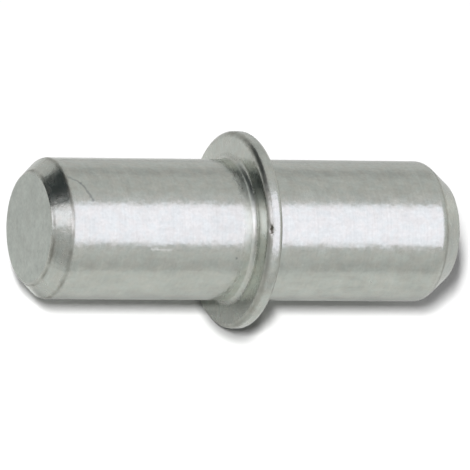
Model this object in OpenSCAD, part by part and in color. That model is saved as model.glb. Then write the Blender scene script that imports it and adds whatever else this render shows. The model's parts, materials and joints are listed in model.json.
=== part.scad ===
// Shelf support pin, cold headed from one length of steel wire: a plug that
// is pushed into a bored hole in a cabinet side, a collar that stops it
// against the panel, and a peg that the shelf rests on.
//
// The pin lies along X. The origin is on its axis, in the collar face that
// seats on the panel: the plug reaches to +X and the peg to -X.

/* [Plug] */
// Diameter of the plug
plug_d = 5; // [4:0.1:6]
// Length of the plug, from the collar to its flat end
plug_l = 7.7; // [5:0.05:15]
// Length of the lead-in taper, along the axis
plug_taper_l = 0.85; // [0.6:0.05:1.5]
// Height of the lead-in taper, across the radius
plug_taper_h = 0.7; // [0.3:0.05:0.9]
// Radius that blends the plug into its lead-in taper
plug_blend_r = 0.5; // [0.1:0.05:1.25]

/* [Peg] */
// Diameter of the peg
peg_d = 5; // [4:0.1:6]
// Length of the peg, from the collar to its flat end
peg_l = 7.7; // [5:0.05:15]
// Length of the chamfer, along the axis
peg_taper_l = 0.6; // [0.3:0.05:1.5]
// Height of the chamfer, across the radius
peg_taper_h = 0.55; // [0.2:0.05:0.9]
// Radius that blends the peg into its chamfer
peg_blend_r = 0.25; // [0.1:0.05:0.8]

/* [Collar] */
// Diameter of the collar
collar_d = 7; // [6.2:0.1:10]
// Thickness of the collar
collar_t = 0.6; // [0.45:0.05:2]
// Radius of the two upset edges of the collar's rim
rim_r = 0.2; // [0.05:0.01:0.25]
// Radius of the fillet where the plug and the peg meet the collar
root_r = 0.2; // [0.05:0.01:0.3]

/* [Hidden] */

// How far a trimming outline reaches past the surface that it leaves alone
overrun = 1;
// Steps in a full turn
$fn = 96;

// Half the outline of one shank, with the radius along x and the height above
// its collar face along y. The taper is laid against the blend's own circle,
// so that the wall, the blend and the taper run into each other smoothly.
module shank_outline(shank_r, shank_l, taper_l, taper_h, blend_r) {
    taper_angle = atan2(taper_h, taper_l);
    wall_top = shank_l - taper_l - blend_r * tan(taper_angle / 2);
    intersection() {
        square([shank_r + overrun, shank_l]);
        union() {
            square([shank_r, wall_top]);
            translate([shank_r - blend_r, wall_top]) rotate(taper_angle) {
                circle(blend_r);
                translate([-shank_l, 0]) square([shank_l + blend_r, shank_l]);
            }
        }
    }
    root_fillet(shank_r);
}

// The inside corner between a shank and the collar.
module root_fillet(shank_r) {
    translate([shank_r, 0]) difference() {
        square(root_r);
        translate([root_r, root_r]) circle(root_r);
    }
}

// Half the outline of the collar, below the face that seats on the panel.
module collar_outline(collar_r) {
    flat_r = collar_r - rim_r;
    translate([0, -collar_t]) {
        square([flat_r, collar_t]);
        translate([0, rim_r]) square([collar_r, collar_t - 2 * rim_r]);
        translate([flat_r, rim_r]) circle(rim_r);
        translate([flat_r, collar_t - rim_r]) circle(rim_r);
    }
}

module support_pin() {
    color("#a5a8a4") rotate([0, 90, 0]) rotate_extrude() {
        shank_outline(plug_d / 2, plug_l, plug_taper_l, plug_taper_h, plug_blend_r);
        collar_outline(collar_d / 2);
        translate([0, -collar_t]) mirror([0, 1])
            shank_outline(peg_d / 2, peg_l, peg_taper_l, peg_taper_h, peg_blend_r);
    }
}

support_pin();
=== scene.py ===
"""A zinc-plated shelf support pin: the turned piece, its finishes and the studio that it is shown in.

The pin lies along X, with its peg at -X and its plug at +X. Lengths are in metres, but a finish gives its
lengths in millimetres and its depths in microns.
"""

from __future__ import annotations

import json
import logging
import math
from collections.abc import Callable
from dataclasses import dataclass, field
from enum import Enum

import bpy
from mathutils import Color, Matrix, Vector


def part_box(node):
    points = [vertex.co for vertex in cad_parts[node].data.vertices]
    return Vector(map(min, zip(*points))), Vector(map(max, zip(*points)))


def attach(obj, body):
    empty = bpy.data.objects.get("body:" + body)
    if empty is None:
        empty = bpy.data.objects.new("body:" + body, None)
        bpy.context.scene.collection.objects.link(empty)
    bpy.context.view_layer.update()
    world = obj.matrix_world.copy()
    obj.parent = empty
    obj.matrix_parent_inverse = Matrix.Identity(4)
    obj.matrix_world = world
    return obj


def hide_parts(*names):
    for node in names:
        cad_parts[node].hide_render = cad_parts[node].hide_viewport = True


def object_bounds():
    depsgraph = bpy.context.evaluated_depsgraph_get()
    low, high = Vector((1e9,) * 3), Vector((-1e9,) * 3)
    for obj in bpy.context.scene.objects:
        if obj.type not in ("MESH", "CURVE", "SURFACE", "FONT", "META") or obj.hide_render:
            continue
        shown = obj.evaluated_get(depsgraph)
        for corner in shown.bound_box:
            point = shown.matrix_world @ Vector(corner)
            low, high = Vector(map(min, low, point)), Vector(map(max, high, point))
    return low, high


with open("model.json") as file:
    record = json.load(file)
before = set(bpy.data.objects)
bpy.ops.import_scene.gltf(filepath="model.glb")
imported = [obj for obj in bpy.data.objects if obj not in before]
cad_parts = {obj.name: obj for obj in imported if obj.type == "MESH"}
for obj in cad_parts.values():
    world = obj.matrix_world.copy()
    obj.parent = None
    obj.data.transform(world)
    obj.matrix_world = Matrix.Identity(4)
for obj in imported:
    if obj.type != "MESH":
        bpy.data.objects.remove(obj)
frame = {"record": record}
CAD_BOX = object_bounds()

log = logging.getLogger("support_pin")

MM = 0.001
MICRON = 0.001 * MM
FULL_CHANNEL = 255
NODE = "support_pin"
BODY = "root"

Pair = tuple[float, float]
Triple = tuple[float, float, float]
Colour = tuple[int, int, int]
Stops = tuple[Pair, ...]
Socket = bpy.types.NodeSocket
Tree = bpy.types.NodeTree

WHITE: Triple = (1.0, 1.0, 1.0)
COOL: Triple = (1.01, 0.95, 1.12)
WARM: Triple = (1.03, 1.0, 0.9)


def linear(colour: Colour) -> tuple[float, float, float, float]:
    """Turn a colour as a picture shows it into the linear one, with a full alpha, that a shader takes."""
    shown = Color([channel / FULL_CHANNEL for channel in colour])
    return (*shown.from_srgb_to_scene_linear(), 1.0)


class Zone(Enum):
    """How a stretch of the pin was formed, which decides its finish."""

    DRAWN = 0
    SWAGED = 1
    CROPPED = 2


class Tone(Enum):
    """What a mark did to the zinc."""

    DARK = 0
    BRIGHT = 1
    SOILED = 2


class Nodes:
    """A short way to write a shader tree: a node is added, set and linked in one call."""

    TO_VALUE = ("LENGTH", "DOT_PRODUCT", "DISTANCE")

    def __init__(self, tree: Tree) -> None:
        """Start on an empty tree."""
        self.tree = tree
        tree.nodes.clear()

    def add(self, kind: str, settings: dict[str, object] | None = None, **inputs: object) -> bpy.types.Node:
        """Add a node.

        Args:
            kind: The node's type name, without its ShaderNode prefix.
            settings: Properties to set on the node.
            **inputs: Values, or sockets to link, by socket name with _ for a space, or by i and a number.

        Returns:
            The new node.
        """
        node = self.tree.nodes.new(kind if kind.startswith("Node") else "ShaderNode" + kind)
        for name, value in (settings or {}).items():
            setattr(node, name, value)
        for name, value in inputs.items():
            numbered = name[0] == "i" and name[1:].isdigit()
            socket = node.inputs[int(name[1:]) if numbered else name.replace("_", " ")]
            if isinstance(value, Socket):
                self.tree.links.new(value, socket)
            else:
                socket.default_value = value
        return node

    def math(self, operation: str, *terms: Socket | float) -> Socket:
        """Work on one, two or three values and return the result."""
        inputs = {f"i{number}": term for number, term in enumerate(terms)}
        return self.add("Math", {"operation": operation}, **inputs).outputs[0]

    def vector(self, operation: str, *terms: Socket | Triple) -> Socket:
        """Work on one or two vectors.

        Args:
            operation: The operation's name.
            *terms: The vectors.

        Returns:
            The new vector, or the value where the operation makes one.
        """
        inputs = {f"i{number}": term for number, term in enumerate(terms)}
        node = self.add("VectorMath", {"operation": operation}, **inputs)
        return node.outputs["Value" if operation in self.TO_VALUE else "Vector"]

    def spread(self, value: Socket, low: float, high: float, to_low: float, to_high: float) -> Socket:
        """Map a value smoothly from one range to another, and hold it at the ends.

        Args:
            value: The value to map.
            low: Start of its range.
            high: End of its range.
            to_low: What the start becomes.
            to_high: What the end becomes.

        Returns:
            The mapped value.
        """
        ends = {"From_Min": low, "From_Max": high, "To_Min": to_low, "To_Max": to_high}
        return self.add("MapRange", {"interpolation_type": "SMOOTHSTEP"}, Value=value, **ends).outputs[0]

    def ramp(self, value: Socket, stops: Stops) -> Socket:
        """Map a value through stops, each a place from low to high and the grey there.

        Args:
            value: The value to map.
            stops: The stops, in order.

        Returns:
            The grey.
        """
        first, last = stops[0][0], stops[-1][0]
        share = self.math("DIVIDE", self.math("SUBTRACT", value, first), last - first)
        node = self.add("ValToRGB", Fac=share)
        while len(node.color_ramp.elements) < len(stops):
            node.color_ramp.elements.new(1.0)
        for element, (place, grey) in zip(node.color_ramp.elements, stops):
            element.position = (place - first) / (last - first)
            element.color = (grey, grey, grey, 1.0)
        return node.outputs["Color"]

    def noise(self, place: Socket, scale: float | Socket, detail: float | Socket) -> Socket:
        """Add noise, from 0 to 1."""
        return self.add("TexNoise", Vector=place, Scale=scale, Detail=detail).outputs[0]

    def signed(self, value: Socket) -> Socket:
        """Stretch a value from 0 to 1 over -1 to 1."""
        return self.math("MULTIPLY_ADD", value, 2.0, -1.0)

    def mix(self, share: Socket | float, first: object, second: object, blend: str = "MIX") -> Socket:
        """Mix two colours and return the result."""
        node = self.add("Mix", {"data_type": "RGBA", "blend_type": blend}, i0=share, i6=first, i7=second)
        return node.outputs[2]

    def scaled(self, colour: Socket, factor: Socket) -> Socket:
        """Multiply a colour by a value."""
        return self.mix(1.0, colour, factor, "MULTIPLY")

    def rays(self) -> tuple[Socket, Socket]:
        """Tell the camera's own rays, and those that metal or glass sends on.

        Returns:
            Two values, each 1 for such a ray and otherwise 0.
        """
        path = self.add("LightPath").outputs
        shiny = self.math("MAXIMUM", path["Is Glossy Ray"], path["Is Transmission Ray"])
        return path["Is Camera Ray"], shiny

    def group(self, tree: Tree, **inputs: object) -> bpy.types.NodeOutputs:
        """Place a node group and return its outputs."""
        return self.add("Group", {"node_tree": tree}, **inputs).outputs


def new_material(name: str) -> tuple[bpy.types.Material, Nodes]:
    """Make an empty material.

    Args:
        name: Its name.

    Returns:
        The material, and its shader tree to write.
    """
    material = bpy.data.materials.new(name)
    material.use_nodes = True
    return material, Nodes(material.node_tree)


@dataclass(frozen=True)
class Wander:
    """A value that noise varies by place: the noise, the part of it that is used, and what that gives."""

    scale: float
    detail: float
    noise: Pair
    value: Pair

    def add(self, nodes: Nodes, place: Socket) -> Socket:
        """Add the noise and return the value."""
        return nodes.spread(nodes.noise(place, self.scale, self.detail), *self.noise, *self.value)


STREAK_DETAIL = 2.0
LINE_WIDTH = Wander(scale=7.0, detail=3.0, noise=(0.3, 0.7), value=(0.7, 1.3))
LINE_GAPS = Wander(scale=2.3, detail=3.0, noise=(0.35, 0.65), value=(1.0, 0.0))
SCRATCH_WIDTH = Wander(scale=9.0, detail=2.0, noise=(0.35, 0.65), value=(0.3, 1.2))
SCRATCH_CORE = 0.3


class Effect:
    """A shader node group that several finishes share."""

    def __init__(self, name: str, vectors: tuple[str, ...], values: tuple[str, ...],
                 results: tuple[str, ...]) -> None:
        """Make the group's sockets.

        Args:
            name: The group's name.
            vectors: The names of the vectors that it is given.
            values: The names of the values that it is given.
            results: The names of the values that it puts out.
        """
        self.tree = bpy.data.node_groups.new(name, "ShaderNodeTree")
        self.sockets(vectors, "INPUT", "NodeSocketVector")
        self.sockets(values, "INPUT", "NodeSocketFloat")
        self.sockets(results, "OUTPUT", "NodeSocketFloat")
        self.nodes = Nodes(self.tree)
        self.given = self.nodes.add("NodeGroupInput").outputs
        self.made = self.nodes.add("NodeGroupOutput").inputs

    def sockets(self, names: tuple[str, ...], side: str, kind: str) -> None:
        """Add sockets of one kind to one side of the group."""
        for name in names:
            self.tree.interface.new_socket(name, in_out=side, socket_type=kind)

    def put(self, name: str, value: Socket) -> None:
        """Send a value out of the group."""
        self.tree.links.new(value, self.made[name])


def turned_place() -> Tree:
    """Tell where a point lies on a turned piece: along its axis, out from it, and round it from the front.

    Returns:
        The node group.
    """
    effect = Effect("turned_place", ("Place",), (), ("Axial", "Radius", "Turn"))
    nodes = effect.nodes
    place = nodes.add("SeparateXYZ", i0=effect.given["Place"]).outputs
    flat = nodes.vector("MULTIPLY", effect.given["Place"], (0.0, 1.0, 1.0))
    effect.put("Axial", place["X"])
    effect.put("Radius", nodes.vector("LENGTH", flat))
    effect.put("Turn", nodes.math("ARCTAN2", place["Z"], nodes.math("MULTIPLY", place["Y"], -1.0)))
    return effect.tree


def cloudy_zinc() -> Tree:
    """Make soft light and dark patches, as plated zinc has, from -1 to 1.

    Returns:
        The node group.
    """
    effect = Effect("cloudy_zinc", ("Place",), ("Size", "Detail"), ("Cloud",))
    nodes = effect.nodes
    scale = nodes.math("DIVIDE", 1.0, effect.given["Size"])
    noise = nodes.noise(effect.given["Place"], scale, effect.given["Detail"])
    effect.put("Cloud", nodes.signed(noise))
    return effect.tree


def streaks() -> Tree:
    """Make streaks of a given length along the axis and across it, from -1 to 1.

    Returns:
        The node group.
    """
    effect = Effect("streaks", ("Place",), ("Along", "Across"), ("Streak",))
    nodes = effect.nodes
    along = nodes.math("DIVIDE", 1.0, effect.given["Along"])
    across = nodes.math("DIVIDE", 1.0, effect.given["Across"])
    scale = nodes.add("CombineXYZ", X=along, Y=across, Z=across).outputs[0]
    place = nodes.vector("MULTIPLY", effect.given["Place"], scale)
    effect.put("Streak", nodes.signed(nodes.noise(place, 1.0, STREAK_DETAIL)))
    return effect.tree


def edge_line() -> Tree:
    """Make a ragged line round the piece along an edge, where soil and painted shade darken it, from 0 to
    1.

    Returns:
        The node group.
    """
    values = ("Axial", "Radius", "At Axial", "At Radius", "Width", "Broken")
    effect = Effect("edge_line", ("Place",), values, ("Line",))
    nodes, given = effect.nodes, effect.given
    off_axial = nodes.math("SUBTRACT", given["Axial"], given["At Axial"])
    off_radius = nodes.math("SUBTRACT", given["Radius"], given["At Radius"])
    far = nodes.vector("LENGTH", nodes.add("CombineXYZ", X=off_axial, Y=off_radius).outputs[0])
    width = nodes.math("MULTIPLY", given["Width"], LINE_WIDTH.add(nodes, given["Place"]))
    line = nodes.spread(nodes.math("DIVIDE", far, width), 0.0, 1.0, 1.0, 0.0)
    gaps = nodes.math("MULTIPLY", LINE_GAPS.add(nodes, given["Place"]), given["Broken"])
    effect.put("Line", nodes.math("MULTIPLY", line, nodes.math("SUBTRACT", 1.0, gaps)))
    return effect.tree


def scratch() -> Tree:
    """Make a short ragged scratch on a shank, between two places along and round it, from 0 to 1.

    Returns:
        The node group.
    """
    effect = Effect("scratch", ("Place", "Start", "End"), ("Axial", "Arc", "Width"), ("Line",))
    nodes, given = effect.nodes, effect.given
    point = nodes.add("CombineXYZ", X=given["Axial"], Y=given["Arc"]).outputs[0]
    run = nodes.vector("SUBTRACT", given["End"], given["Start"])
    off = nodes.vector("SUBTRACT", point, given["Start"])
    reached = nodes.vector("DOT_PRODUCT", off, run)
    share = nodes.math("DIVIDE", reached, nodes.vector("DOT_PRODUCT", run, run))
    held = nodes.add("Clamp", Value=share).outputs[0]
    along = nodes.add("VectorMath", {"operation": "SCALE"}, i0=run, Scale=held).outputs[0]
    width = nodes.math("MULTIPLY", given["Width"], SCRATCH_WIDTH.add(nodes, given["Place"]))
    far = nodes.math("DIVIDE", nodes.vector("DISTANCE", off, along), width)
    effect.put("Line", nodes.spread(far, SCRATCH_CORE, 1.0, 1.0, 0.0))
    return effect.tree


@dataclass(frozen=True)
class Effects:
    """The node groups that the finishes share."""

    place: Tree
    cloud: Tree
    streaks: Tree
    edge: Tree
    scratch: Tree

    @classmethod
    def build(cls) -> Effects:
        """Build each group once."""
        return cls(turned_place(), cloudy_zinc(), streaks(), edge_line(), scratch())


@dataclass(frozen=True)
class SoilAndShadeLine:
    """A dark line in an edge, of soil and painted shade: its place, width, strength and how broken it is.
    """

    axial: float
    radius: float
    width: float
    strength: float
    broken: float

    @classmethod
    def at(cls, x: float, radius: float, width: float, strength: float, broken: float) -> SoilAndShadeLine:
        """Place a line by its distance along the axis and out from it, in metres."""
        return cls(x / MM, radius / MM, width, strength, broken)


@dataclass(frozen=True)
class Mark:
    """A scratch on a shank: its ends in millimetres along and degrees round the pin, and its width."""

    start: Pair
    end: Pair
    width: float
    strength: float
    tone: Tone


@dataclass(frozen=True)
class ZincFinish:
    """Bright zinc on steel, as one way of forming the steel left it.

    Clouds, speckles, drawn and turned streaks change how light it is. The tint drifts between two colours,
    a faint stain lies in patches, and the band next to the collar is made duller and painted lighter,
    as a painted reflection.
    """

    name: str
    colour: Colour = (191, 193, 185)
    cool_colour: Colour = (189, 194, 187)
    # Colour of the stain and of the edge lines; the edge lines are partly painted shade.
    soil_and_shade_colour: Colour = (120, 118, 108)
    scratch_colour: Colour = (132, 137, 136)
    bright_colour: Colour = (248, 249, 247)
    # Colour of the dark mark painted into the nick.
    nick_colour: Colour = (74, 72, 64)
    roughness: float = 0.22
    cloud_roughness: float = 0.1
    soil_and_shade_roughness: float = 0.2
    coarse_detail: float = 3.0
    fine_detail: float = 2.0
    tint_size: float = 0.3
    tint_range: Pair = (-0.3, 0.3)
    stain_size: float = 1.1
    stain_range: Pair = (-0.1, 0.5)
    stain: float = 0.07
    cloud_size: float = 0.4
    cloud_contrast: float = 0.13
    speckle_size: float = 0.11
    speckle_contrast: float = 0.10
    drawn_along: float = 0.7
    drawn_across: float = 0.12
    drawn_contrast: float = 0.05
    turned_along: float = 0.07
    turned_across: float = 1.6
    turned_contrast: float = 0.06
    turned_depth: float = 0.8
    dimple_size: float = 0.5
    dimple_depth: float = 7.5
    # Where the shank is painted lighter next to the collar, as a painted reflection, and made duller.
    painted_light_band: Triple = (-1.25, -0.82, -0.6)
    painted_light_gain: float = 0.45
    band_roughness: float = 0.12
    shank_r: float = 2.5
    lines: tuple[SoilAndShadeLine, ...] = ()
    scratches: tuple[Mark, ...] = ()

    def material(self, effects: Effects) -> bpy.types.Material:
        """Make the finish.

        Args:
            effects: The node groups that the finishes share.

        Returns:
            The material.
        """
        shader = ZincShader(self, effects)
        shader.plate()
        shader.paint_collar_light()
        shader.soil_and_shade()
        shader.scratch()
        shader.close()
        return shader.material

    def shown(self, tone: Tone) -> Colour:
        """Pick the colour of a mark."""
        shades = {
            Tone.DARK: self.scratch_colour,
            Tone.BRIGHT: self.bright_colour,
            Tone.SOILED: self.nick_colour,
        }
        return shades[tone]

    def unrolled(self, along: float, turn: float) -> Triple:
        """Lay a place on the shank out flat: along the axis, and round it as an arc."""
        return (along, math.radians(turn) * self.shank_r, 0.0)


class ZincShader:
    """The material of one finish, put together step by step."""

    def __init__(self, finish: ZincFinish, effects: Effects) -> None:
        """Start the material and find where on the pin it works, in millimetres.

        Args:
            finish: The finish.
            effects: The node groups that the finishes share.
        """
        self.finish = finish
        self.effects = effects
        self.material, self.nodes = new_material(finish.name)
        point = self.nodes.add("TexCoord").outputs["Object"]
        self.place = self.nodes.vector("MULTIPLY", point, (1 / MM, 1 / MM, 1 / MM))
        self.turned = self.nodes.group(effects.place, Place=self.place)
        self.cloud = self.patches(finish.cloud_size, finish.coarse_detail)
        self.turning = self.streaks(finish.turned_along, finish.turned_across)
        self.colour: Socket | None = None
        self.roughness: Socket | None = None

    def patches(self, size: float, detail: float) -> Socket:
        """Add soft patches, from -1 to 1."""
        return self.nodes.group(self.effects.cloud, Place=self.place, Size=size, Detail=detail)["Cloud"]

    def streaks(self, along: float, across: float) -> Socket:
        """Add streaks, from -1 to 1."""
        made = self.nodes.group(self.effects.streaks, Place=self.place, Along=along, Across=across)
        return made["Streak"]

    def plate(self) -> None:
        """Lay the zinc: how rough it is, its drifting tint, how light it is, and its stain."""
        nodes, finish = self.nodes, self.finish
        self.roughness = nodes.math("MULTIPLY_ADD", self.cloud, finish.cloud_roughness, finish.roughness)
        drift = self.patches(finish.tint_size, finish.fine_detail)
        cool = nodes.spread(drift, *finish.tint_range, 0.0, 1.0)
        tint = nodes.mix(cool, linear(finish.colour), linear(finish.cool_colour))
        shade = nodes.math("MULTIPLY_ADD", self.cloud, finish.cloud_contrast, 1.0)
        speckle = self.patches(finish.speckle_size, finish.fine_detail)
        shade = nodes.math("MULTIPLY_ADD", speckle, finish.speckle_contrast, shade)
        drawn = self.streaks(finish.drawn_along, finish.drawn_across)
        shade = nodes.math("MULTIPLY_ADD", drawn, finish.drawn_contrast, shade)
        shade = nodes.math("MULTIPLY_ADD", self.turning, finish.turned_contrast, shade)
        patch = self.patches(finish.stain_size, finish.coarse_detail)
        stained = nodes.spread(patch, *finish.stain_range, 0.0, finish.stain)
        self.colour = nodes.mix(stained, nodes.scaled(tint, shade), linear(finish.soil_and_shade_colour))

    def paint_collar_light(self) -> None:
        """Paint the band next to the collar lighter, as a painted reflection, and make it duller."""
        nodes, finish = self.nodes, self.finish
        start, full, end = finish.painted_light_band
        rise = nodes.spread(self.turned["Axial"], start, full, 0.0, 1.0)
        fall = nodes.spread(self.turned["Axial"], full, end, 1.0, 0.0)
        painted_light_band = nodes.math("MULTIPLY", rise, fall)
        self.roughness = nodes.math("MULTIPLY_ADD", painted_light_band, finish.band_roughness, self.roughness)
        self.colour = nodes.scaled(self.colour, nodes.math("MULTIPLY_ADD", painted_light_band, finish.painted_light_gain, 1.0))

    def soil_and_shade(self) -> None:
        """Darken the edges with soil and with painted shade, and make them duller."""
        nodes, finish = self.nodes, self.finish
        for line in finish.lines:
            shown = nodes.group(
                self.effects.edge, Place=self.place,
                Axial=self.turned["Axial"], Radius=self.turned["Radius"],
                At_Axial=line.axial, At_Radius=line.radius, Width=line.width, Broken=line.broken,
            )["Line"]
            share = nodes.math("MULTIPLY", shown, line.strength)
            self.colour = nodes.mix(share, self.colour, linear(finish.soil_and_shade_colour))
            self.roughness = nodes.math("MULTIPLY_ADD", share, finish.soil_and_shade_roughness, self.roughness)

    def scratch(self) -> None:
        """Draw the scratches."""
        nodes, finish = self.nodes, self.finish
        arc = nodes.math("MULTIPLY", self.turned["Turn"], finish.shank_r)
        for mark in finish.scratches:
            shown = nodes.group(
                self.effects.scratch, Place=self.place, Axial=self.turned["Axial"], Arc=arc,
                Start=finish.unrolled(*mark.start), End=finish.unrolled(*mark.end), Width=mark.width,
            )["Line"]
            share = nodes.math("MULTIPLY", shown, mark.strength)
            self.colour = nodes.mix(share, self.colour, linear(finish.shown(mark.tone)))

    def close(self) -> None:
        """Raise the fine relief and put the metal together."""
        nodes, finish = self.nodes, self.finish
        dimple = self.patches(finish.dimple_size, finish.fine_detail)
        height = nodes.math("MULTIPLY", self.turning, finish.turned_depth)
        height = nodes.math("MULTIPLY_ADD", dimple, finish.dimple_depth, height)
        bump = nodes.add("Bump", Strength=1.0, Distance=MICRON, Height=height).outputs[0]
        metal = nodes.add(
            "BsdfPrincipled", Base_Color=self.colour, Metallic=1.0, Roughness=self.roughness, Normal=bump,
        )
        nodes.add("OutputMaterial", Surface=metal.outputs[0])


@dataclass(frozen=True)
class Ring:
    """One turn of the pin's outline."""

    x: float
    radius: float


@dataclass
class SupportPin:
    """The pin's sizes, and how its mesh is turned and dressed."""

    peg_tip: float
    plug_tip: float
    collar_r: float
    shank_r: float
    collar_t: float = 0.6 * MM
    rim_r: float = 0.2 * MM
    root_r: float = 0.2 * MM
    peg_taper: Pair = (0.6 * MM, 0.55 * MM)
    peg_blend_r: float = 0.25 * MM
    plug_taper: Pair = (0.85 * MM, 0.7 * MM)
    plug_blend_r: float = 0.5 * MM
    edge_r: float = 0.08 * MM
    hub_share: float = 0.125
    nick_x: float = -0.47 * MM
    nick_turn: float = 33.8
    nick_half_turn: float = 2.0
    nick_mark_width: float = 0.085
    nick_depth: float = 0.05 * MM
    nick_reach: float = 0.17 * MM
    facets: int = 256
    arc_step: float = math.radians(6)
    least_steps: int = 3
    wall_step: float = 0.25 * MM
    least_gap: float = 0.1 * MICRON
    slack: float = 5 * MICRON
    facing_share: float = 0.999
    level_share: float = 0.001
    corner_share: float = 0.3
    plug_line_shares: Pair = (0.9, 0.1)
    scratches: tuple[Mark, ...] = (
        Mark((-7.66, 81.2), (-7.18, 73.3), 0.08, 0.45, Tone.DARK),
        Mark((-7.18, 73.3), (-6.85, 56.3), 0.08, 0.55, Tone.DARK),
        Mark((-4.62, 16.6), (-4.40, 16.9), 0.09, 0.5, Tone.BRIGHT),
        Mark((-4.40, 16.9), (-3.85, 16.2), 0.06, 0.3, Tone.BRIGHT),
        Mark((-1.30, 9.6), (-1.28, 9.4), 0.07, 0.8, Tone.DARK),
    )
    rings: list[Ring] = field(default_factory=list)

    @classmethod
    def from_frame(cls) -> SupportPin:
        """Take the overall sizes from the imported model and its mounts.

        Returns:
            The pin, not built yet.
        """
        low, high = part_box(NODE)
        plug = next(mount for mount in frame["record"]["mounts"] if mount["name"] == "panel_plug")
        return cls(peg_tip=low.x, plug_tip=high.x, collar_r=high.z, shank_r=plug["dims"]["r_mm"] * MM)

    def arc(self, x: float, radius: float, bend: float, start: float, end: float) -> None:
        """Follow an arc of the outline.

        Args:
            x: Place of the arc's centre along the axis.
            radius: Distance of the arc's centre from the axis.
            bend: The arc's own radius.
            start: Angle of its first point, in degrees from +X towards the outside.
            end: Angle of its last point.
        """
        steps = max(self.least_steps, math.ceil(abs(math.radians(end - start)) / self.arc_step))
        for step in range(steps + 1):
            angle = math.radians(start + (end - start) * step / steps)
            self.rings.append(Ring(x + bend * math.cos(angle), radius + bend * math.sin(angle)))

    def straight(self, x: float, radius: float) -> None:
        """Follow a straight stretch of the outline, in short steps.

        Args:
            x: Place of its last point along the axis.
            radius: Distance of its last point from the axis.
        """
        last = self.rings[-1]
        steps = max(1, math.ceil(math.dist((last.x, last.radius), (x, radius)) / self.wall_step))
        for step in range(1, steps + 1):
            share = step / steps
            out = last.radius + (radius - last.radius) * share
            self.rings.append(Ring(last.x + (x - last.x) * share, out))

    def end(self, tip: float, sign: int, taper: Pair, blend_r: float) -> None:
        """Lay out one end, from its flat face to the shank's wall.

        Args:
            tip: Place of the flat face along the axis.
            sign: 1 for the end at -X, and -1 for the end at +X, which is laid out the other way round.
            taper: Length and height of the taper.
            blend_r: Radius that blends the taper into the wall.
        """
        angle = math.degrees(math.atan2(taper[1], taper[0]))
        face_r = self.shank_r - taper[1] - self.edge_r * math.tan(math.radians(90 - angle) / 2)
        blend_x = tip + sign * (taper[0] + blend_r * math.tan(math.radians(angle) / 2))
        blend_at = self.shank_r - blend_r
        slope = 90 + sign * angle
        first = len(self.rings)
        self.rings.append(Ring(tip, face_r * self.hub_share))
        self.straight(tip, face_r)
        self.arc(tip + sign * self.edge_r, face_r, self.edge_r, 90 + sign * 90, slope)
        self.straight(blend_x + blend_r * math.cos(math.radians(slope)),
                      blend_at + blend_r * math.sin(math.radians(slope)))
        self.arc(blend_x, blend_at, blend_r, slope, 90)
        if sign < 0:
            self.rings[first:] = reversed(self.rings[first:])

    def outline(self) -> None:
        """Lay out the rings from the peg's flat end to the plug's."""
        seat, stop = 0.0, -self.collar_t
        flat_r = self.collar_r - self.rim_r
        root = self.shank_r + self.root_r
        plug_slope = math.atan2(self.plug_taper[1], self.plug_taper[0])
        plug_wall_end = self.plug_tip - self.plug_taper[0] - self.plug_blend_r * math.tan(plug_slope / 2)
        self.rings = []
        self.end(self.peg_tip, 1, self.peg_taper, self.peg_blend_r)
        self.straight(stop - self.root_r, self.shank_r)
        self.arc(stop - self.root_r, root, self.root_r, -90, 0)
        self.straight(stop, flat_r)
        self.arc(stop + self.rim_r, flat_r, self.rim_r, 180, 90)
        self.straight(seat - self.rim_r, self.collar_r)
        self.arc(seat - self.rim_r, flat_r, self.rim_r, 90, 0)
        self.straight(seat, root)
        self.arc(seat + self.root_r, root, self.root_r, 180, 270)
        self.straight(plug_wall_end, self.shank_r)
        self.end(self.plug_tip, -1, self.plug_taper, self.plug_blend_r)

    def build(self) -> bpy.types.Object:
        """Turn the pin: a small disc on the peg's end is drawn out ring by ring to the plug's end.

        Returns:
            The finished object.
        """
        self.outline()
        first = self.rings[0]
        bpy.ops.object.select_all(action="DESELECT")
        bpy.ops.mesh.primitive_circle_add(
            vertices=self.facets, radius=first.radius, fill_type="NGON",
            location=(first.x, 0, 0), rotation=(0, math.radians(90), 0),
        )
        piece = bpy.context.object
        piece.name = "pin_body"
        bpy.ops.object.transform_apply(location=True, rotation=True, scale=True)
        bpy.ops.object.mode_set(mode="EDIT")
        bpy.ops.mesh.select_all(action="SELECT")
        for last, ring in zip(self.rings, self.rings[1:]):
            if math.dist((last.x, last.radius), (ring.x, ring.radius)) < self.least_gap:
                continue
            bpy.ops.mesh.extrude_region_move(TRANSFORM_OT_translate={"value": (ring.x - last.x, 0, 0)})
            scale = ring.radius / last.radius
            bpy.ops.transform.resize(value=(1, scale, scale), center_override=(0, 0, 0))
        bpy.ops.mesh.select_all(action="SELECT")
        bpy.ops.mesh.normals_make_consistent(inside=False)
        bpy.ops.mesh.faces_shade_smooth()
        bpy.ops.object.mode_set(mode="OBJECT")
        self.nick(piece)
        return piece

    def nick(self, piece: bpy.types.Object) -> None:
        """Knock a small nick into the collar's rim, deepest at one corner of the mesh and less around it.

        Args:
            piece: The turned pin.
        """
        turn = math.radians(self.nick_turn)
        out = Vector((0, -math.cos(turn), math.sin(turn)))
        middle = Vector((self.nick_x, 0, 0)) + out * self.collar_r
        corner = min(piece.data.vertices, key=lambda vertex: (vertex.co - middle).length).index
        bpy.ops.object.mode_set(mode="EDIT")
        bpy.ops.mesh.select_mode(type="VERT")
        bpy.ops.mesh.select_all(action="DESELECT")
        bpy.ops.object.mode_set(mode="OBJECT")
        piece.data.vertices[corner].select = True
        bpy.ops.object.mode_set(mode="EDIT")
        bpy.ops.transform.translate(
            value=out * -self.nick_depth, use_proportional_edit=True, proportional_edit_falloff="SMOOTH",
            proportional_size=self.nick_reach,
        )
        bpy.ops.object.mode_set(mode="OBJECT")

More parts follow.
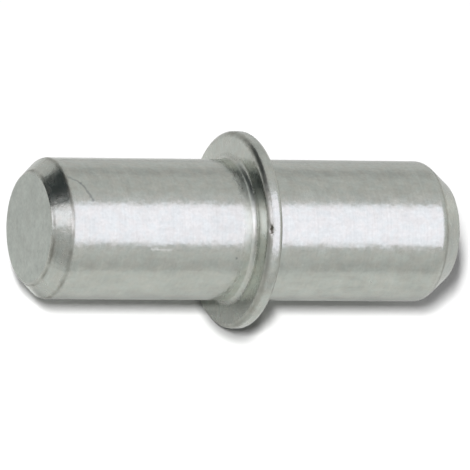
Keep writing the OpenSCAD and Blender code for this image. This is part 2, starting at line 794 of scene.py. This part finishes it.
    def zone(self, centre: Vector, normal: Vector) -> Zone:
        """Tell how a face was formed.

        Args:
            centre: The face's place.
            normal: The way it faces.

        Returns:
            Its zone.
        """
        at_tip = centre.x < self.peg_tip + self.slack or centre.x > self.plug_tip - self.slack
        if at_tip and abs(normal.x) > self.facing_share:
            return Zone.CROPPED
        on_shank = math.hypot(centre.y, centre.z) < self.shank_r + self.slack
        if on_shank and abs(normal.x) < self.level_share:
            return Zone.DRAWN
        return Zone.SWAGED

    def soil_and_shade_lines(self) -> tuple[SoilAndShadeLine, ...]:
        """List the edges that soil and painted shade darken, from the peg's end to the plug's.

        Returns:
            Their lines.
        """
        stop = -self.collar_t
        edge_x, edge_at = self.peg_tip + self.edge_r, self.shank_r - self.peg_taper[1] + self.edge_r
        peg_x = self.peg_tip + self.peg_taper[0]
        root, rim = self.corner_share * self.root_r, self.corner_share * self.rim_r
        back, down = self.plug_line_shares
        plug_x, plug_r = self.plug_tip - back * self.plug_taper[0], self.shank_r - down * self.plug_taper[1]
        plug_face_r = self.shank_r - self.plug_taper[1]
        # Each line is partly soil and partly painted shade that damps the bright reflections of its edge.
        return (
            SoilAndShadeLine.at(edge_x, edge_at, width=0.10, strength=0.7, broken=0.8),
            SoilAndShadeLine.at(peg_x, self.shank_r, width=0.13, strength=0.65, broken=0.5),
            SoilAndShadeLine.at(stop - root, self.shank_r + root, width=0.2, strength=0.15, broken=0.1),
            SoilAndShadeLine.at(stop, self.shank_r + self.root_r, width=0.1, strength=0.18, broken=0.5),
            SoilAndShadeLine.at(stop + rim, self.collar_r - rim, width=0.2, strength=0.6, broken=0.3),
            SoilAndShadeLine.at(-rim, self.collar_r - rim, width=0.11, strength=0.55, broken=0.4),
            SoilAndShadeLine.at(plug_x, plug_r, width=0.13, strength=0.55, broken=0.4),
            SoilAndShadeLine.at(self.plug_tip, plug_face_r, width=0.1, strength=0.5, broken=0.5),
        )

    def finishes(self) -> dict[Zone, ZincFinish]:
        """Choose the finish of each zone.

        Returns:
            The finishes, in the order of the zones.
        """
        lines = self.soil_and_shade_lines()
        nick_start, nick_end = self.nick_turn - self.nick_half_turn, self.nick_turn + self.nick_half_turn
        nick_x = self.nick_x / MM
        # The nick's darkness is painted on as a dark mark over the dent.
        dent = Mark((nick_x, nick_start), (nick_x, nick_end), self.nick_mark_width, 1.0, Tone.SOILED)
        return {
            Zone.DRAWN: ZincFinish("drawn_zinc", lines=lines, scratches=self.scratches),
            Zone.SWAGED: ZincFinish(
                "swaged_zinc", roughness=0.25, dimple_size=0.2, dimple_depth=4.0, drawn_contrast=0.0,
                turned_contrast=0.1, turned_depth=1.2, lines=lines, scratches=(dent,),
            ),
            Zone.CROPPED: ZincFinish(
                "cropped_zinc", colour=(187, 193, 186), roughness=0.36, cloud_contrast=0.2,
                speckle_contrast=0.2, drawn_contrast=0.0, turned_depth=0.0, lines=lines,
            ),
        }

    def dress(self, piece: bpy.types.Object) -> None:
        """Give each zone its finish.

        Args:
            piece: The turned pin, which is the active object.
        """
        effects = Effects.build()
        for zone, finish in self.finishes().items():
            piece.data.materials.append(finish.material(effects))
            log.info("%s zone wears %s", zone.name.lower(), finish.name)
        for zone in Zone:
            select_faces(piece, lambda centre, normal: self.zone(centre, normal) is zone)
            piece.active_material_index = zone.value
            bpy.ops.object.mode_set(mode="EDIT")
            bpy.ops.object.material_slot_assign()
            bpy.ops.object.mode_set(mode="OBJECT")


def select_faces(piece: bpy.types.Object, wanted: Callable[[Vector, Vector], bool]) -> None:
    """Select the faces of the active object whose centre and normal pass a test.

    Args:
        piece: The object, in object mode.
        wanted: The test, given a face's centre and normal.
    """
    bpy.ops.object.mode_set(mode="EDIT")
    bpy.ops.mesh.select_mode(type="FACE")
    bpy.ops.mesh.select_all(action="DESELECT")
    bpy.ops.object.mode_set(mode="OBJECT")
    for polygon in piece.data.polygons:
        polygon.select = wanted(polygon.center, polygon.normal)


@dataclass(frozen=True)
class Viewpoint:
    """Where the camera stands, and how it sees the pin."""

    distance: float = 482.2 * MM
    focal_length: float = 1042.4
    sensor_width: float = 36.0
    clip: Pair = (10 * MM, 10.0)
    elevation: float = math.radians(30)
    axis_turn: float = math.radians(25.013)
    axis_slope: float = math.radians(0.4845)
    pin_right: float = 0.0132 * MM
    pin_up: float = 0.1854 * MM
    centre: Vector = Vector((-0.275 * MM, 0, 0))

    def axes(self) -> Matrix:
        """Work out how the camera's directions lie in the pin's frame.

        Returns:
            The turn from right, up and back, as the camera sees them, to X, Y and Z.
        """
        turn = math.cos(self.axis_turn)
        cos_slope, sin_slope = math.cos(self.axis_slope), math.sin(self.axis_slope)
        along = Vector((turn * cos_slope, -turn * sin_slope, -math.sin(self.axis_turn)))
        back = math.sin(self.elevation)
        lean = math.tan(self.axis_turn) * back
        side = math.sqrt(math.cos(self.elevation) ** 2 - lean ** 2)
        upward = Vector((lean * cos_slope + side * sin_slope, side * cos_slope - lean * sin_slope, back))
        return Matrix((along, upward.cross(along), upward))

    def facing(self, towards: Triple, distance: float) -> Matrix:
        """Find where a lamp stands so that it faces the pin, upright in the camera's view.

        Args:
            towards: Direction from the pin, as the camera sees it: right, up and towards the camera.
            distance: Distance from the pin.

        Returns:
            Its place in the pin's frame.
        """
        axes = self.axes()
        out = (axes @ Vector(towards)).normalized()
        side = (axes @ Vector((0, 1, 0))).cross(out).normalized()
        turned = Matrix((side, out.cross(side), out)).transposed().to_4x4()
        return Matrix.Translation(self.centre + out * distance) @ turned

    def place(self) -> None:
        """Add the camera."""
        data = bpy.data.cameras.new("camera")
        data.lens = self.focal_length
        data.sensor_width = self.sensor_width
        data.clip_start, data.clip_end = self.clip
        camera = bpy.data.objects.new("camera", data)
        bpy.context.scene.collection.objects.link(camera)
        axes = self.axes()
        place = self.centre - axes @ Vector((self.pin_right, self.pin_up, -self.distance))
        camera.matrix_world = Matrix.Translation(place) @ axes.to_4x4()
        bpy.context.scene.camera = camera


@dataclass(frozen=True)
class Softbox:
    """A lamp behind a diffuser. Its direction is as the camera sees it from the pin."""

    name: str
    towards: Triple
    size: Pair
    radiance: float
    distance: float = 0.25
    tint: Triple = WHITE
    on_metal: bool = True

    def place(self, view: Viewpoint) -> None:
        """Add the lamp: one that the metal shows, or one that lights the floor.

        Args:
            view: Where the camera stands.
        """
        data = bpy.data.lights.new(self.name, "AREA")
        data.shape = "RECTANGLE"
        data.size, data.size_y = self.size
        data.energy = self.radiance * math.pi * self.size[0] * self.size[1]
        data.color = self.tint
        lamp = bpy.data.objects.new(self.name, data)
        bpy.context.scene.collection.objects.link(lamp)
        lamp.matrix_world = view.facing(self.towards, self.distance)
        lamp.visible_camera = False
        lamp.visible_glossy = self.on_metal
        lamp.visible_diffuse = not self.on_metal


@dataclass(frozen=True)
class Flag:
    """A dark card that only the metal shows.

    Its centre, measured from the pin, and its two sides are as the camera sees them.
    """

    name: str
    centre: Triple
    across: Triple
    along: Triple
    radiance: float
    tint: Triple = WHITE

    def place(self, view: Viewpoint) -> None:
        """Add the card.

        Args:
            view: Where the camera stands.
        """
        bpy.ops.object.select_all(action="DESELECT")
        bpy.ops.mesh.primitive_plane_add(size=1)
        card = bpy.context.object
        card.name = self.name
        axes = view.axes()
        across, along = axes @ Vector(self.across), axes @ Vector(self.along)
        sides = Matrix((across, along, across.cross(along).normalized())).transposed().to_4x4()
        card.matrix_world = Matrix.Translation(view.centre + axes @ Vector(self.centre)) @ sides
        material, nodes = new_material(self.name)
        shine = nodes.add("Emission", Color=(*self.tint, 1.0), Strength=self.radiance)
        nodes.add("OutputMaterial", Surface=shine.outputs[0])
        card.data.materials.append(material)
        card.visible_camera = card.visible_diffuse = card.visible_shadow = False


@dataclass(frozen=True)
class Studio:
    """The pale floor, the light and the camera.

    The metal shows the floor in greys that go by Y, which paint light and shade into its reflections: the
    under tones below the pin, with a painted shadow just under it and painted light behind it, and the open
    tones past its ends. Behind the collar's foot the floor is painted lighter, and in front of the peg's
    end painted darker.
    """

    view: Viewpoint = Viewpoint()
    lamps: tuple[Softbox, ...] = (
        Softbox("right_box", (0.762, 0.126, 0.635), (0.18, 0.283), 0.955, tint=(0.985, 0.935, 1.16)),
        Softbox("spill_box", (0.644, 0.663, 0.381), (0.18, 0.097), 0.07, tint=COOL),
        Softbox("front_box", (0.0, 0.22, 0.975), (0.2, 0.14), 1.4, tint=COOL),
        Softbox("left_box", (-0.5765, 0.26, 0.775), (0.14, 0.104), 0.85, tint=COOL),
        Softbox("rear_right_box", (0.7, 0.2, -0.68), (0.2, 0.12), 0.35, tint=WARM),
        Softbox("key", (-0.033, 0.145, 0.989), (0.066, 0.228), 436.0, distance=1.2, on_metal=False),
    )
    flags: tuple[Flag, ...] = (
        Flag("top_flag", (-0.2325, 0.2, 0.1), (0.485, 0, -0.05), (0.04, 0, 0.28), 0.05,
             tint=(0.82, 1.0, 1.03)),
        Flag("left_flag", (-0.144, -0.0525, 0.2), (0.096, 0, 0.07), (0, 0.065, 0), 0.46),
        Flag("back_flag", (0.066, 0.2155, -0.108), (-0.105, 0.048, 0.032), (-0.032, -0.025, -0.069), 0.58),
    )
    floor_size: float = 4.0
    floor_grey: float = 0.8
    # The under tones dip to a painted shadow just under the pin and rise to painted light behind it, where
    # the lamp's shadow falls.
    under_tones: Stops = (
        (-20 * MM, 0.68), (-12 * MM, 0.615), (-9.8 * MM, 0.59), (-7.4 * MM, 0.58), (-6.4 * MM, 0.76),
        (-4.6 * MM, 0.765), (-3.6 * MM, 0.735), (-2.7 * MM, 0.725), (-1.7 * MM, 0.655), (-0.9 * MM, 0.49),
        (-0.5 * MM, 0.46), (-0.05 * MM, 0.48), (0.2 * MM, 0.8), (3 * MM, 0.82), (6 * MM, 0.74),
        (20 * MM, 0.73),
    )
    open_tones: Stops = (
        (-20 * MM, 0.68), (-12 * MM, 0.615), (-7.4 * MM, 0.58), (-6.4 * MM, 0.76), (-2 * MM, 0.76),
        (0.0, 0.68), (20 * MM, 0.66),
    )
    open_from: Pair = (7.6 * MM, 8.8 * MM)
    # Painted light behind the collar's foot, and painted shade in front of the peg's end.
    foot_x: Pair = (3 * MM, 5.5 * MM)
    foot_y: Pair = (-0.05 * MM, 0.2 * MM)
    foot_painted_light: float = 0.25
    front_x: Pair = (-12 * MM, -9.5 * MM)
    front_y: Pair = (-5.2 * MM, -4.4 * MM)
    front_painted_shade: float = 0.3
    mottle_size: float = 1.2 * MM
    mottle_detail: float = 1.0
    mottle: float = 0.25
    touch_place: Triple = (0.54 * MM, 0.37 * MM, 0.0)
    touch_reach: Triple = (1.38 * MM, 2.84 * MM, 1.0)
    touch_turn: float = math.radians(-14.6)
    touch_dark: float = 0.53
    touch_edge: Pair = (0.65, 0.985)
    walls: float = 0.7
    ambient: float = 0.2

    def build(self) -> None:
        """Set up everything around the pin."""
        bpy.context.scene.view_settings.view_transform = "Standard"
        self.view.place()
        self.floor()
        self.world()
        for fitting in self.lamps + self.flags:
            fitting.place(self.view)

    def floor(self) -> None:
        """Add the floor under the collar. The camera sees it white with a painted contact shadow, the metal
        in painted greys.
        """
        bpy.ops.object.select_all(action="DESELECT")
        bpy.ops.mesh.primitive_plane_add(size=self.floor_size, location=(0, 0, CAD_BOX[0].z))
        plane = bpy.context.object
        plane.name = "floor"
        material, nodes = new_material("floor")
        point = nodes.add("TexCoord").outputs["Object"]
        camera, shiny = nodes.rays()
        plain = (self.floor_grey, self.floor_grey, self.floor_grey, 1.0)
        tone = nodes.mix(shiny, plain, self.mirrored(nodes, point))
        tone = nodes.mix(camera, tone, self.painted_touch_shadow(nodes, point))
        paint = nodes.add("BsdfDiffuse", Color=tone)
        nodes.add("OutputMaterial", Surface=paint.outputs[0])
        plane.data.materials.append(material)

    def mirrored(self, nodes: Nodes, point: Socket) -> Socket:
        """Work out the grey in which the metal shows the floor, with its painted light and shade.

        Args:
            nodes: The floor's shader tree.
            point: Where on the floor it is.

        Returns:
            The grey.
        """
        place = nodes.add("SeparateXYZ", i0=point).outputs
        across = nodes.math("ABSOLUTE", place["X"])
        past_ends = nodes.spread(across, *self.open_from, 0.0, 1.0)
        under, clear = (nodes.ramp(place["Y"], tones) for tones in (self.under_tones, self.open_tones))
        grey = nodes.mix(past_ends, under, clear)
        # Painted light behind the collar's foot, and painted shade in front of the peg's end.
        foot = nodes.math("MULTIPLY", nodes.spread(across, *self.foot_x, self.foot_painted_light, 0.0),
                          nodes.spread(place["Y"], *self.foot_y, 0.0, 1.0))
        front = nodes.math("MULTIPLY", nodes.spread(place["X"], *self.front_x, self.front_painted_shade, 0.0),
                           nodes.spread(place["Y"], *self.front_y, 1.0, 0.0))
        grey = nodes.scaled(grey, nodes.math("SUBTRACT", nodes.math("ADD", foot, 1.0), front))
        spots = nodes.signed(nodes.noise(point, 1 / self.mottle_size, self.mottle_detail))
        return nodes.scaled(grey, nodes.math("MULTIPLY_ADD", spots, self.mottle, 1.0))

    def painted_touch_shadow(self, nodes: Nodes, point: Socket) -> Socket:
        """Work out the white that the camera sees, with a soft shadow painted where the collar touches the
        floor.

        Args:
            nodes: The floor's shader tree.
            point: Where on the floor it is.

        Returns:
            The white.
        """
        shade = nodes.add(
            "Mapping", {"vector_type": "TEXTURE"}, Vector=point, Location=self.touch_place,
            Rotation=(0.0, 0.0, self.touch_turn), Scale=self.touch_reach,
        ).outputs[0]
        return nodes.spread(nodes.vector("LENGTH", shade), *self.touch_edge, 1 - self.touch_dark, 1.0)

    def world(self) -> None:
        """Light the room: the camera sees it white, the metal grey, and it lights the floor less."""
        world = bpy.data.worlds.new("studio")
        bpy.context.scene.world = world
        world.use_nodes = True
        nodes = Nodes(world.node_tree)
        camera, shiny = nodes.rays()
        hidden = nodes.math("SUBTRACT", 1.0, nodes.math("MAXIMUM", camera, shiny))
        strength = nodes.math("MULTIPLY_ADD", shiny, self.walls, camera)
        strength = nodes.math("MULTIPLY_ADD", hidden, self.ambient, strength)
        sky = nodes.add("Background", Strength=strength, Color=(*WHITE, 1.0))
        nodes.add("OutputWorld", Surface=sky.outputs[0])


def main() -> None:
    """Build the pin and its studio."""
    logging.basicConfig(level=logging.INFO, format="%(name)s: %(message)s")
    pin = SupportPin.from_frame()
    piece = pin.build()
    pin.dress(piece)
    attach(piece, BODY)
    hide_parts(NODE)
    log.info("%s: %d faces", piece.name, len(piece.data.polygons))
    Studio().build()


if __name__ == "__main__":
    main()
